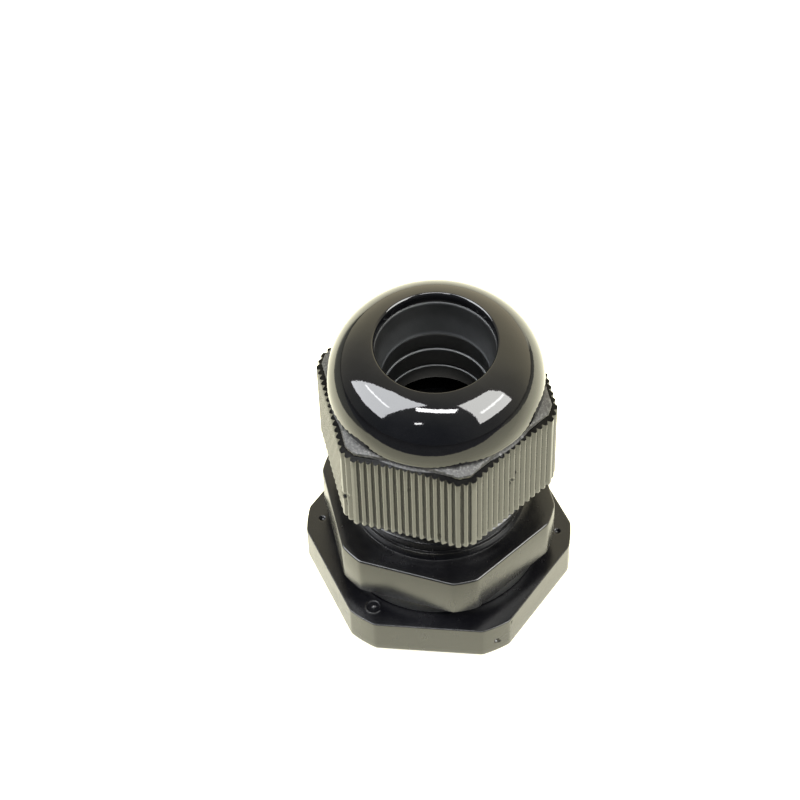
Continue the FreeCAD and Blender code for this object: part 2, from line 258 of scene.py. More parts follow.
# --------------------------------------------------------------------- fingers
def make_finger(k):
    """One clamp finger, its section a rounded sector between parallel slots."""
    r_in, slot, n = 7.65, 0.95, 12
    half = math.pi / n

    def outline(r_out, inset):
        s = slot / 2 + inset
        ri, ro = r_in + inset, r_out - inset
        c = min(0.16, (ro - ri) * 0.35)
        ai = half - math.asin(s / ri)
        ao = half - math.asin(s / ro)
        pts = []
        # outer arc
        for a in np.linspace(-ao + c / ro, ao - c / ro, 9):
            pts.append((ro * math.cos(a), ro * math.sin(a)))
        # corner, side, corner
        e = ao - 0.35 * c / ro
        pts.append(((ro - 0.08 * c) * math.cos(e), (ro - 0.08 * c) * math.sin(e)))
        e = half - math.asin(s / (ro - c))
        pts.append(((ro - c) * math.cos(e), (ro - c) * math.sin(e)))
        e = half - math.asin(s / (ri + c))
        pts.append(((ri + c) * math.cos(e), (ri + c) * math.sin(e)))
        for a in np.linspace(ai - c / ri, -ai + c / ri, 7):
            pts.append((ri * math.cos(a), ri * math.sin(a)))
        m = [(x, -y) for x, y in pts[9:12]][::-1]
        return pts + m
    z0, z1 = 16.2, fin_hi.z
    levels = [(z0, 9.0, 0.12), (16.5, 9.0, 0.06), (16.9, 9.0, 0.0), (18.5, 9.0, 0.0), (20.5, 9.0, 0.0),
              (21.6, 9.0, 0.0), (21.85, 8.975, 0.0), (22.2, 8.83, 0.0), (22.9, 8.52, 0.0),
              (z1 - 0.18, 8.30, 0.0), (z1 - 0.06, 8.25, 0.035), (z1, 8.2, 0.12)]
    rows = [[(x, y, z) for x, y in outline(r, d)] for z, r, d in levels]
    n_pts = len(rows[0])
    verts = [p for row in rows for p in row]
    faces = []
    for a in range(len(rows) - 1):
        for i in range(n_pts):
            j = (i + 1) % n_pts
            faces.append((a * n_pts + i, a * n_pts + j, (a + 1) * n_pts + j, (a + 1) * n_pts + i))
    faces.append(tuple(range(n_pts))[::-1])
    faces.append(tuple((len(rows) - 1) * n_pts + i for i in range(n_pts)))
    a = TAU * k / n
    c, s = math.cos(a), math.sin(a)
    verts = [(x * c - y * s, x * s + y * c, z) for x, y, z in verts]
    return finish_mesh("clamp_finger_%02d_moulding" % (k + 1), verts, faces, "finger_%02d" % (k + 1))


# ------------------------------------------------------------------------- cap
CORE_A, CORE_R, CAP_C, RIB_H, RIBS = 11.0, 12.33, -89.38, 0.57, 96


def cap_columns(samples):
    """Points and normals of the grip's core outline, and each one's place along its rib's pitch."""
    half = math.acos(CORE_A / CORE_R)
    flat = 2 * CORE_R * math.sin(half)
    curve = CORE_R * 2 * (math.radians(30) - half)
    side = flat + curve
    per = RIBS // 6
    step = side / per
    pts, nor, frac = [], [], []
    for i in range(RIBS):
        for t in samples:
            s = ((i + t) * step) % (6 * side)
            k = math.floor(s / side)
            d = s - k * side
            corner = math.radians(CAP_C + 60 * k)
            if d < curve / 2 or d > side - curve / 2:
                a = corner + d / CORE_R if d < curve / 2 else corner + math.radians(60) - (side - d) / CORE_R
                p, n = (CORE_R * math.cos(a), CORE_R * math.sin(a)), (math.cos(a), math.sin(a))
            else:
                m = corner + math.radians(30)
                q = d - side / 2
                p = (CORE_A * math.cos(m) - q * math.sin(m), CORE_A * math.sin(m) + q * math.cos(m))
                n = (math.cos(m), math.sin(m))
            pts.append(p)
            nor.append(n)
            frac.append(t)
    pts.append(pts[0])
    nor.append(nor[0])
    frac.append(frac[0])
    return np.array(pts), np.array(nor), np.array(frac)


def make_cap():
    half = [(0.0, 1.0), (0.08, 0.977), (0.16, 0.915), (0.24, 0.82), (0.32, 0.70), (0.395, 0.565), (0.455, 0.455), (0.5, 0.40)]
    samples = [t for t, _ in half] + [1 - t for t, _ in half[-2:0:-1]]
    height = dict(zip(samples, [v for _, v in half] + [v for _, v in half[-2:0:-1]]))
    p, n, frac = cap_columns(samples)
    h = np.array([height[t] for t in frac]) * RIB_H
    th = np.unwrap(np.arctan2(p[:, 1], p[:, 0]))
    deg = np.degrees(th)
    # knocks on a few ribs: azimuth, height, reach in degrees and mm, depth in mm
    knocks = ((-152.4, 15.9, 0.9, 0.32, 0.34), (-149.6, 16.7, 0.8, 0.26, 0.26), (-153.9, 17.0, 0.8, 0.22, 0.3), (-150.6, 15.1, 0.9, 0.2, 0.24),
              (-60.1, 18.7, 0.8, 0.14, 0.2), (-61.9, 18.0, 0.8, 0.16, 0.22), (-57.4, 19.2, 0.8, 0.13, 0.18), (-101.2, 13.6, 0.9, 0.12, 0.1), (-117.5, 20.6, 0.9, 0.1, 0.1))

    def worn(z):
        """How far the knocks push the ribs in at a height."""
        push = np.zeros(len(p))
        for a, zc, ra, rz, depth in knocks:
            d = (deg - a + 180) % 360 - 180
            push += depth * np.exp(-(d / ra) ** 2 - ((z - zc) / rz) ** 2)
        return np.minimum(push, h - 0.1)
    if th[-1] - th[0] < 0:
        raise RuntimeError("cap columns run the wrong way")
    z0, top = cap_lo.z, cap_hi.z

    def grip(scale, z, limit=None):
        """Row on the ribs: scale shrinks the ribs, limit turns them down to a radius."""
        q = p + n * (h * scale - worn(z))[:, None]
        if limit is not None:
            r = np.hypot(q[:, 0], q[:, 1])
            q = q * (np.minimum(r, limit) / r)[:, None]
        return np.column_stack([q, np.full(len(q), float(z))])

    def core(z, d=0.0, limit=None):
        q = p - n * d
        if limit is not None:
            r = np.hypot(q[:, 0], q[:, 1])
            q = q * (np.minimum(r, limit) / r)[:, None]
        return np.column_stack([q, np.full(len(q), float(z))])
    rows = []
    # underside, then the ribs' rounded lower ends
    rows.append(ring(th, 10.75, z0))
    rows.append(core(z0, 0.12))
    rows.append(core(z0 + 0.02, 0.0))
    for s, z in ((0.35, 0.035), (0.60, 0.09), (0.80, 0.18), (0.93, 0.31), (1.0, 0.48)):
        rows.append(grip(s, z0 + z))
    for z in [12.9, 13.3, 13.45, 13.6, 13.75, 13.9, 14.3] + list(np.arange(14.7, 17.7, 0.15)) + list(np.arange(17.8, 19.6, 0.12)) + [20.2, 20.45, 20.6, 20.75, 21.0, 22.2]:
        rows.append(grip(1.0, z))

    def rib_top(row, drop):
        """Row moved to the shallow cone that the rib tops end on."""
        row = row.copy()
        row[:, 2] = 24.0 - 0.36 * (np.hypot(row[:, 0], row[:, 1]) - 11.5) - drop
        return row
    rows.append(rib_top(grip(1.0, 0), 0.012))
    rows.append(rib_top(grip(0.99, 0), 0.0))
    rows.append(rib_top(core(0, 0.05), 0.0))
    # turned chamfer up to the dome's foot
    base_r, base_z = 11.36, 24.93
    e_r, e_z, f_r, f_z = 12.33, 24.22, 11.18, 24.62
    rows.append(core(e_z - 0.05, 0.06))
    rows.append(core(e_z - 0.01, 0.085))
    for t in (0.02, 0.1, 0.35, 0.7, 1.0):
        lim = e_r + (f_r - e_r) * t
        z = e_z + (f_z - e_z) * t
        rows.append(core(z, 0.10, lim))
    rows.append(ring(th, 11.02, 24.60))
    rows.append(ring(th, 10.98, 24.66))
    rows.append(ring(th, 11.0, 24.74))
    rows.append(ring(th, 11.22, 24.80))
    rows.append(ring(th, 11.32, 24.88))
    rows.append(ring(th, base_r, 25.02))
    # dome
    for r, z in dome_profile(48):
        rows.append(ring(th, r, z))
    # lip, mouth, ceiling, ramp, bore
    for r, z in ((6.565, top - 0.028), (6.50, top - 0.052), (6.44, top - 0.10), (6.385, top - 0.165), (6.34, top - 0.245), (6.313, top - 0.34), (6.302, top - 0.44), (6.3, top - 0.55), (6.3, 30.1), (6.33, 29.92), (6.42, 29.85),
                 (6.6, 29.82), (7.6, 29.82), (7.78, 29.74), (8.65, 28.4), (9.55, 26.95), (9.6, 26.75), (9.6, 21.6), (9.58, 21.45), (9.5, 21.2)):
        rows.append(ring(th, r, z))
    down = thread_rows(th, 9.5, 10.34, 7.63, z0 + 0.85, 21.05, 0.9, 0.8, clearance=0.04)
    rows += down[::-1]
    rows.append(ring(th, 9.6, z0 + 0.7))
    rows.append(ring(th, 10.3, z0 + 0.08))
    rows.append(ring(th, 10.42, z0 + 0.01))
    v, f = skin(rows)
    return finish_mesh("dome_cap_moulding", v, f, "cap", sharp=42)


def dome_profile(n):
    """(r, z) from the drum's top to the mouth's lip: one round arc."""
    rho, cz = 6.0, 25.27
    cx = 11.34 - rho
    end = math.acos((6.6 - cx) / rho)
    return [(cx + rho * math.cos(end * i / n), cz + rho * math.sin(end * i / n)) for i in range(n + 1)]


# ---------------------------------------------------------------------- insert
def make_insert():
    """Outside tapered, so that the clamp fingers have room to bend in."""
    th = angles(2.0)
    top, low = ins_hi.z, ins_lo.z
    prof = [(6.36, top - 0.0), (6.30, top - 0.05), (6.27, top - 0.16), (6.10, 28.2), (5.92, 26.9), (5.80, 26.0), (5.735, 25.58),
            (5.695, 25.42), (5.685, 25.32), (5.70, 25.23), (5.73, 25.15), (5.755, 25.05), (5.765, 24.9), (5.765, 23.0), (5.76, 22.84),
            (5.745, 22.775), (5.72, 22.755), (5.65, 22.745), (5.62, 22.72), (5.603, 22.66), (5.60, 22.5), (5.60, 20.35), (5.595, 20.2),
            (5.575, 20.15), (5.545, 20.135), (5.505, 20.125), (5.482, 20.10), (5.472, 20.04), (5.47, 19.9), (5.48, 18.2),
            (5.53, 18.06), (5.66, low), (6.7, low), (7.0, low + 0.08), (7.18, low + 0.25), (7.24, low + 0.5),
            (6.96, 20.5), (6.72, 22.2), (6.57, 23.25), (6.54, 23.5), (6.53, 24.0), (6.53, 27.85), (6.57, 28.08),
            (6.75, 28.2), (8.1, 28.2), (8.24, 28.23), (8.3, 28.33), (8.27, 28.48), (8.05, 28.8), (7.6, 29.45), (7.5, 29.62), (7.3, top - 0.02), (7.1, top)]
    rows = [ring(th, r, z) for r, z in prof]
    v, f = skin(rows)
    return finish_mesh("sealing_insert_rubber", v, f, "insert", sharp=60)


# ---------------------------------------------------------------------- gasket
def make_gasket():
    th = angles(3.0)
    lo, hi = gsk_lo.z, gsk_hi.z
    r0, r1 = 10.15, 11.5
    prof = [(r0, lo + 0.18), (r0 + 0.05, lo + 0.05), (r0 + 0.18, lo), (r1 - 0.2, lo), (r1 - 0.05, lo + 0.05), (r1, lo + 0.2),
            (r1, (lo + hi) / 2), (r1, hi - 0.2), (r1 - 0.05, hi - 0.05), (r1 - 0.2, hi), (r0 + 0.18, hi), (r0 + 0.05, hi - 0.05), (r0, hi - 0.18)]
    v, f = skin([ring(th, r, z) for r, z in prof])
    return finish_mesh("panel_gasket_rubber", v, f, "gasket", sharp=60)


# --------------------------------------------------------------------- locknut
NT_A, NT_R, NT_C = 13.5, 14.725, -17.85


def make_nut():
    lo, hi = nut_lo.z, nut_hi.z
    # moulding marks: azimuth and radius on the top face, azimuth and height on a side
    pits = ((161.75, 13.07, 0.40, 0.27, 0.30), (-16.6, 13.23, 0.34, 0.27, 0.30))
    mark_deg, mark_r = -137.2, 12.76
    scars = ((-77.7, -4.93, 0.30, 0.26, 0.30), (-76.6, -5.25, 0.20, 0.16, 0.16), (-70.4, hi - 0.55, 0.16, 0.13, 0.10))
    base = list(np.degrees(angles(1.5, hex_edges(NT_A, NT_R, NT_C)))[:-1] % 360)
    for deg, reach, count in ((161.75, 2.2, 23), (-16.6, 2.2, 23), (mark_deg, 4.8, 49), (-77.3, 2.6, 27), (-70.4, 1.1, 11)):
        base += [(deg + d) % 360 for d in np.linspace(-reach, reach, count)]
    a = sorted(base)
    keep = [a[0]]
    for x in a[1:]:
        if x - keep[-1] > 0.10:
            keep.append(x)
    th = np.radians(np.append(keep, keep[0] + 360))
    deg = np.degrees(th)

    def hx(d, z):
        r = hex_r(th, NT_A - d, NT_R - d, NT_C, 0.035)
        if lo + 0.3 < z < hi - 0.2:
            for ang, zc, wide, tall, depth in scars:
                u = ((deg - ang + 180) % 360 - 180) * math.pi / 180 * r
                r = r - depth * np.exp(-((u / wide) ** 2 + ((z - zc) / tall) ** 2) ** 2)
        return ring(th, r, z)

    def top_row(f):
        """Row on the top face with the pits and the ejector mark's ring and nub."""
        r = 10.34 + f * (hex_r(th, NT_A - 0.28, NT_R - 0.28, NT_C, 0.035) - 10.34)
        x, y = r * np.cos(th), r * np.sin(th)
        z = np.full(len(th), float(hi))
        for ang, pr, wide, deep_w, depth in pits:
            cx, cy = pr * math.cos(math.radians(ang)), pr * math.sin(math.radians(ang))
            d = np.hypot(x - cx, y - cy)
            z -= depth * np.exp(-(d / deep_w) ** 4)
        cx, cy = mark_r * math.cos(math.radians(mark_deg)), mark_r * math.sin(math.radians(mark_deg))
        d = np.hypot(x - cx, y - cy)
        z += 0.055 * np.exp(-((d - 0.80) / 0.09) ** 2) - 0.03 * np.exp(-(d / 0.62) ** 6)
        z += 0.12 * np.exp(-(np.hypot(x - cx - 0.12, (y - cy - 0.1) * 1.25) / 0.26) ** 2)
        return np.column_stack([x, y, z])
    rows = []
    rows += thread_rows(th, 9.3, 10.14, -4.2, lo + 0.62, hi - 0.62, 0.7, 0.7, clearance=0.04)
    rows.append(ring(th, 9.38, hi - 0.58))
    rows.append(ring(th, 10.08, hi - 0.10))
    rows.append(ring(th, 10.2, hi - 0.02))
    rows.append(ring(th, 10.32, hi))
    for f in [0.1, 0.3] + list(np.arange(0.40, 0.985, 0.018)) + [1.0]:
        rows.append(top_row(f))
    for d, z in ((0.13, 0.0), (0.075, 0.009), (0.03, 0.035), (0.006, 0.08), (0.0, 0.13), (0.0, 0.26)):
        rows.append(hx(d, hi - z))
    for z in [hi - 0.36, hi - 0.45, hi - 0.55, hi - 0.65, hi - 0.78, -3.4, -4.1, -4.4] + list(np.arange(-4.5, -5.6, -0.07)) + [-5.7, -6.0]:
        rows.append(hx(0.0, z))
    for d, z in ((0.0, 0.26), (0.012, 0.16), (0.06, 0.07), (0.15, 0.018), (0.26, 0.0)):
        rows.append(hx(d, lo + z))
    rows.append(hx(1.4, lo))
    rows.append(ring(th, 10.32, lo))
    rows.append(ring(th, 10.2, lo + 0.02))
    rows.append(ring(th, 10.08, lo + 0.10))
    rows.append(ring(th, 9.38, lo + 0.58))
    v, f = skin(rows)
    return finish_mesh("locknut_moulding", v, f, "locknut")


# ------------------------------------------------------------------- materials
def new_material(name):
    m = bpy.data.materials.new(name)
    m.use_nodes = True
    nt = m.node_tree
    nt.nodes.clear()
    out = nt.nodes.new("ShaderNodeOutputMaterial")
    b = nt.nodes.new("ShaderNodeBsdfPrincipled")
    nt.links.new(b.outputs[0], out.inputs[0])
    return m, nt, b


def node(nt, kind, **inputs):
    x = nt.nodes.new(kind)
    for k, v in inputs.items():
        x.inputs[k.replace("_", " ")].default_value = v
    return x


def ramp(nt, source, stops):
    r = nt.nodes.new("ShaderNodeValToRGB")
    el = r.color_ramp.elements
    while len(el) < len(stops):
        el.new(0.5)
    for e, (p, c) in zip(el, stops):
        e.position = p
        e.color = (c, c, c, 1) if isinstance(c, (int, float)) else (*c, 1)
    nt.links.new(source, r.inputs[0])
    return r


def plastic(name, dark, light, rough_lo, rough_hi, grain=0.35, wear=0.5, ior=1.53):
    """Moulded black polyamide: fine grain, faint flow mottling and scuffs."""
    m, nt, b = new_material(name)
    L = nt.links.new
    tc = nt.nodes.new("ShaderNodeTexCoord")
    mottle = node(nt, "ShaderNodeTexNoise", Scale=240.0, Detail=5.0, Roughness=0.6)
    L(tc.outputs["Object"], mottle.inputs["Vector"])
    fine = node(nt, "ShaderNodeTexNoise", Scale=2600.0, Detail=4.0, Roughness=0.65)
    L(tc.outputs["Object"], fine.inputs["Vector"])
    # colour: near black with slow variation
    col = ramp(nt, mottle.outputs["Fac"], [(0.35, dark), (0.68, light)])
    L(col.outputs[0], b.inputs["Base Color"])
    # scuffs: long thin noise, thresholded
    mp = nt.nodes.new("ShaderNodeMapping")
    mp.inputs["Scale"].default_value = (1.0, 1.0, 0.22)
    mp.inputs["Rotation"].default_value = (0.35, 0.5, 0.2)
    L(tc.outputs["Object"], mp.inputs["Vector"])
    scr = node(nt, "ShaderNodeTexNoise", Scale=900.0, Detail=6.0, Roughness=0.7)
    L(mp.outputs[0], scr.inputs["Vector"])
    scuff = ramp(nt, scr.outputs["Fac"], [(0.60, 0.0), (0.72, wear)])
    # roughness
    rr = nt.nodes.new("ShaderNodeMapRange")
    rr.inputs["From Min"].default_value = 0.3
    rr.inputs["From Max"].default_value = 0.7
    rr.inputs["To Min"].default_value = rough_lo
    rr.inputs["To Max"].default_value = rough_hi
    L(mottle.outputs["Fac"], rr.inputs["Value"])
    add = nt.nodes.new("ShaderNodeMath")
    add.operation = "MULTIPLY_ADD"
    add.inputs[1].default_value = 0.16
    L(scuff.outputs[0], add.inputs[0])
    L(rr.outputs[0], add.inputs[2])
    L(add.outputs[0], b.inputs["Roughness"])
    # bump: moulded grain and slow sink
    b1 = node(nt, "ShaderNodeBump", Strength=grain, Distance=0.00002)
    L(fine.outputs["Fac"], b1.inputs["Height"])
    b2 = node(nt, "ShaderNodeBump", Strength=0.35, Distance=0.00006)
    L(mottle.outputs["Fac"], b2.inputs["Height"])
    L(b1.outputs[0], b2.inputs["Normal"])
    L(b2.outputs[0], b.inputs["Normal"])
    b.inputs["IOR"].default_value = ior
    return m


def span(nt, source, lo, hi, out_lo=0.0, out_hi=1.0):
    x = nt.nodes.new("ShaderNodeMapRange")
    for k, v in (("From Min", lo), ("From Max", hi), ("To Min", out_lo), ("To Max", out_hi)):
        x.inputs[k].default_value = v
    nt.links.new(source, x.inputs["Value"])
    return x.outputs[0]


def blend(nt, kind, factor, a, b):
    x = nt.nodes.new("ShaderNodeMix")
    x.data_type = kind
    nt.links.new(factor, x.inputs[0])
    i = 2 if kind == "FLOAT" else 6
    nt.links.new(a, x.inputs[i])
    nt.links.new(b, x.inputs[i + 1])
    return x.outputs[0 if kind == "FLOAT" else 2]


def times(nt, a, b):
    x = nt.nodes.new("ShaderNodeMath")
    x.operation = "MULTIPLY"
    nt.links.new(a, x.inputs[0])
    nt.links.new(b, x.inputs[1])
    return x.outputs[0]


def cap_nylon(name):
    """The dome is polished, the ribs are satin, the turned shoulder between them is rough."""
    m = plastic(name, (0.0022, 0.0022, 0.0026), (0.0040, 0.0040, 0.0045), 0.03, 0.06, grain=0.04, wear=0.3)
    nt = m.node_tree
    L = nt.links.new
    b = [x for x in nt.nodes if x.type == "BSDF_PRINCIPLED"][0]
    tc = [x for x in nt.nodes if x.type == "TEX_COORD"][0]
    sep = nt.nodes.new("ShaderNodeSeparateXYZ")
    L(tc.outputs["Object"], sep.inputs[0])
    face = nt.nodes.new("ShaderNodeSeparateXYZ")
    L(tc.outputs["Normal"], face.inputs[0])
    z = sep.outputs[2]
    shoulder = span(nt, z, 0.02406, 0.02413)
    dome = span(nt, z, 0.02481, 0.02488)
    speck = node(nt, "ShaderNodeTexNoise", Scale=3600.0, Detail=5.0, Roughness=0.7)
    L(tc.outputs["Object"], speck.inputs["Vector"])
    slow = node(nt, "ShaderNodeTexNoise", Scale=520.0, Detail=4.0, Roughness=0.6)
    L(tc.outputs["Object"], slow.inputs["Vector"])
    polished_c = b.inputs["Base Color"].links[0].from_socket
    polished_r = b.inputs["Roughness"].links[0].from_socket
    polished_n = b.inputs["Normal"].links[0].from_socket
    rib_c = ramp(nt, slow.outputs["Fac"], [(0.35, (0.0016, 0.0016, 0.0018)), (0.7, (0.0045, 0.0044, 0.0042))]).outputs[0]
    cone_c = ramp(nt, speck.outputs["Fac"], [(0.34, (0.012, 0.0118, 0.0115)), (0.52, (0.036, 0.0355, 0.034)), (0.68, (0.11, 0.107, 0.10))]).outputs[0]
    L(blend(nt, "RGBA", dome, blend(nt, "RGBA", shoulder, rib_c, cone_c), polished_c), b.inputs["Base Color"])
    rib_r = span(nt, slow.outputs["Fac"], 0.3, 0.7, 0.14, 0.23)
    cone_r = span(nt, speck.outputs["Fac"], 0.3, 0.7, 0.42, 0.6)
    L(blend(nt, "FLOAT", dome, blend(nt, "FLOAT", shoulder, rib_r, cone_r), polished_r), b.inputs["Roughness"])
    # tops of the ribs, where they are cut off: their reflection turned down so that they read dark, painted shade
    top = times(nt, span(nt, face.outputs[2], 0.75, 0.85), times(nt, span(nt, z, 0.0230, 0.0231), span(nt, z, 0.02406, 0.02413, 1.0, 0.0)))
    sheen = span(nt, shoulder, 0.0, 1.0, 0.85, 0.5)
    L(times(nt, sheen, span(nt, top, 0.0, 1.0, 1.0, 0.1)), b.inputs["Specular IOR Level"])
    # grain of the ribs and of the shoulder
    not_dome = span(nt, z, 0.02481, 0.02488, 1.0, 0.0)
    depth = span(nt, shoulder, 0.0, 1.0, 0.25, 1.0)
    lift = times(nt, speck.outputs["Fac"], times(nt, not_dome, depth))
    bp = node(nt, "ShaderNodeBump", Strength=0.8, Distance=0.00006)
    L(lift, bp.inputs["Height"])
    L(polished_n, bp.inputs["Normal"])
    L(bp.outputs[0], b.inputs["Normal"])
    return m


def insert_rubber(name):
    """Black rubber. Inside, painted highlights on its ledges and lips and painted shade on the walls between them."""
    m, nt, b = new_material(name)
    L = nt.links.new
    tc = nt.nodes.new("ShaderNodeTexCoord")
    sep = nt.nodes.new("ShaderNodeSeparateXYZ")
    L(tc.outputs["Object"], sep.inputs[0])
    flat = nt.nodes.new("ShaderNodeCombineXYZ")
    L(sep.outputs[0], flat.inputs[0])
    L(sep.outputs[1], flat.inputs[1])
    far = nt.nodes.new("ShaderNodeVectorMath")
    far.operation = "LENGTH"
    L(flat.outputs[0], far.inputs[0])
    inside = span(nt, far.outputs["Value"], 0.0065, 0.0066, 1.0, 0.0)
    n1 = node(nt, "ShaderNodeTexNoise", Scale=420.0, Detail=6.0, Roughness=0.6)
    L(tc.outputs["Object"], n1.inputs["Vector"])
    n2 = node(nt, "ShaderNodeTexNoise", Scale=3800.0, Detail=3.0, Roughness=0.6)
    L(tc.outputs["Object"], n2.inputs["Vector"])
    outer = ramp(nt, n1.outputs["Fac"], [(0.3, (0.012, 0.013, 0.014)), (0.7, (0.024, 0.026, 0.027))]).outputs[0]
    # painted light along the axis, from the bottom of the insert to its top: painted highlights on the ledges and
    # edges, painted shade on the walls and on the funnel's upper part
    low, high = 0.018, 0.0298
    t = span(nt, sep.outputs[2], low, high)

    def at(zmm):
        return (zmm * MM - low) / (high - low)
    # painted highlights round 20.1, 22.7, 25.3 and 29.7 mm; painted shade on the walls between them and darkening up
    # the funnel to 29.45 mm
    painted_light_tones = ((18.5, 0.002), (20.02, 0.002), (20.08, 0.085), (20.16, 0.085), (20.22, 0.002), (22.62, 0.002), (22.69, 0.075), (22.78, 0.075), (22.86, 0.002),
             (25.12, 0.003), (25.22, 0.060), (25.42, 0.062), (25.75, 0.024), (27.2, 0.017), (28.3, 0.007), (29.45, 0.004), (29.68, 0.028))
    inner_painted_light = ramp(nt, t, [(at(zz), (c * 0.95, c, c * 1.04)) for zz, c in painted_light_tones])
    vary = nt.nodes.new("ShaderNodeMix")
    vary.data_type = "RGBA"
    vary.blend_type = "MULTIPLY"
    vary.inputs[0].default_value = 1.0
    L(inner_painted_light.outputs[0], vary.inputs[6])
    L(ramp(nt, n1.outputs["Fac"], [(0.3, 0.75), (0.7, 1.0)]).outputs[0], vary.inputs[7])
    L(blend(nt, "RGBA", inside, outer, vary.outputs[2]), b.inputs["Base Color"])
    L(span(nt, n1.outputs["Fac"], 0.0, 1.0, 0.38, 0.62), b.inputs["Roughness"])
    bp = node(nt, "ShaderNodeBump", Strength=0.5, Distance=0.00002)
    L(n2.outputs["Fac"], bp.inputs["Height"])
    L(bp.outputs[0], b.inputs["Normal"])
    b.inputs["IOR"].default_value = 1.5
    return m


def rubber(name):
    m, nt, b = new_material(name)
    L = nt.links.new
    tc = nt.nodes.new("ShaderNodeTexCoord")
    n1 = node(nt, "ShaderNodeTexNoise", Scale=420.0, Detail=6.0, Roughness=0.6)
    L(tc.outputs["Object"], n1.inputs["Vector"])
    n2 = node(nt, "ShaderNodeTexNoise", Scale=3800.0, Detail=3.0, Roughness=0.6)
    L(tc.outputs["Object"], n2.inputs["Vector"])
    col = ramp(nt, n1.outputs["Fac"], [(0.3, (0.0035, 0.0038, 0.0042)), (0.7, (0.0085, 0.009, 0.0095))])
    L(col.outputs[0], b.inputs["Base Color"])
    rr = nt.nodes.new("ShaderNodeMapRange")
    rr.inputs["To Min"].default_value = 0.38
    rr.inputs["To Max"].default_value = 0.62
    L(n1.outputs["Fac"], rr.inputs["Value"])
    L(rr.outputs[0], b.inputs["Roughness"])
    bp = node(nt, "ShaderNodeBump", Strength=0.5, Distance=0.00002)
    L(n2.outputs["Fac"], bp.inputs["Height"])
    L(bp.outputs[0], b.inputs["Normal"])
    b.inputs["IOR"].default_value = 1.52
    return m


# ----------------------------------------------------------------------- stage
FACING = math.radians(-101.13)      # azimuth of the photographer's side


def studio(right, away, up):
    """World direction or point from ones counted as seen by the photographer."""
    t = Vector((math.cos(FACING), math.sin(FACING), 0))      # towards the photographer
    r = Vector((-t.y, t.x, 0))
    return r * right - t * away + Vector((0, 0, up))


def make_stage():
    floor_z = body_lo.z * MM
    s = 1.6
    mesh = bpy.data.meshes.new("studio_floor")
    mesh.from_pydata([(-s, -s, floor_z), (s, -s, floor_z), (s, s, floor_z), (-s, s, floor_z)], [], [(0, 1, 2, 3)])
    floor = bpy.data.objects.new("studio_floor", mesh)
    bpy.context.scene.collection.objects.link(floor)
    m, nt, b = new_material("floor_paper")
    L = nt.links.new
    b.inputs["Roughness"].default_value = 0.95
    b.inputs["Specular IOR Level"].default_value = 0.1
    tc = nt.nodes.new("ShaderNodeTexCoord")
    # white paper that ends in front of the gland and at its sides, on a grey table
    def beyond(direction, start, stop):
        dot = nt.nodes.new("ShaderNodeVectorMath")
        dot.operation = "DOT_PRODUCT"
        dot.inputs[1].default_value = studio(*direction).normalized()
        L(tc.outputs["Object"], dot.inputs[0])
        return span(nt, dot.outputs["Value"], start, stop)
    fibre = node(nt, "ShaderNodeTexNoise", Scale=90.0, Detail=4.0, Roughness=0.6)
    L(tc.outputs["Object"], fibre.inputs["Vector"])
    # the paper on the photographer's side is painted darker than behind the gland: painted shade
    near = ramp(nt, fibre.outputs["Fac"], [(0.3, (0.34, 0.325, 0.20)), (0.7, (0.37, 0.355, 0.22))]).outputs[0]
    back = ramp(nt, fibre.outputs["Fac"], [(0.3, (0.56, 0.535, 0.37)), (0.7, (0.59, 0.565, 0.395))]).outputs[0]
    paper = blend(nt, "RGBA", beyond((0, 1, 0), -0.035, 0.005), near, back)
    table = ramp(nt, fibre.outputs["Fac"], [(0.3, (0.030, 0.032, 0.038)), (0.7, (0.045, 0.048, 0.055))]).outputs[0]
    side = ramp(nt, fibre.outputs["Fac"], [(0.3, (0.11, 0.11, 0.095)), (0.7, (0.14, 0.14, 0.12))]).outputs[0]
    kept = times(nt, beyond((-1, 0, 0), 0.098, 0.090), beyond((1, 0, 0), 0.215, 0.205))
    first, second = beyond((-0.57, 0.82, 0), 0.02, 0.08), beyond((0.94, 0.34, 0), -0.08, -0.03)
    rear = times(nt, first, second)
    widest = nt.nodes.new("ShaderNodeMath")
    widest.operation = "MAXIMUM"
    L(kept, widest.inputs[0])
    L(rear, widest.inputs[1])
    on_paper = widest.outputs[0]
    front = beyond((0.33, 1, 0), -0.082, -0.078)
    ground = blend(nt, "RGBA", front, table, blend(nt, "RGBA", on_paper, side, paper))
    L(ground, b.inputs["Base Color"])
    glow = times(nt, front, on_paper)
    L(span(nt, glow, 0.0, 1.0, 0.0, 0.9), b.inputs["Emission Strength"])
    b.inputs["Emission Color"].default_value = (1.0, 0.99, 0.93, 1)
    floor.data.materials.append(m)

    world = bpy.data.worlds.new("studio")
    bpy.context.scene.world = world
    world.use_nodes = True
    nt = world.node_tree
    nt.nodes.clear()
    L = nt.links.new
    out = nt.nodes.new("ShaderNodeOutputWorld")
    bg = nt.nodes.new("ShaderNodeBackground")
    L(bg.outputs[0], out.inputs[0])
    tc = nt.nodes.new("ShaderNodeTexCoord")
    # bright wall behind the gland, dark room in front of it
    dot = nt.nodes.new("ShaderNodeVectorMath")
    dot.operation = "DOT_PRODUCT"
    dot.inputs[1].default_value = studio(math.sin(math.radians(160)), -math.cos(math.radians(160)), 0)
    L(tc.outputs["Generated"], dot.inputs[0])
    half = nt.nodes.new("ShaderNodeMapRange")
    half.inputs["From Min"].default_value = -1.0
    half.inputs["From Max"].default_value = 1.0
    L(dot.outputs["Value"], half.inputs["Value"])
    r = ramp(nt, half.outputs[0], [(0.0, (0.018, 0.024, 0.034)), (0.10, (0.035, 0.042, 0.05)), (0.22, (0.085, 0.09, 0.09)),
                                   (0.40, (0.13, 0.13, 0.12)), (0.60, (0.25, 0.24, 0.20)), (0.70, (0.36, 0.34, 0.27)),
                                   (0.82, (0.62, 0.57, 0.41)), (1.0, (0.86, 0.77, 0.54))])
    L(r.outputs[0], bg.inputs[0])
    bg.inputs[1].default_value = 2.5


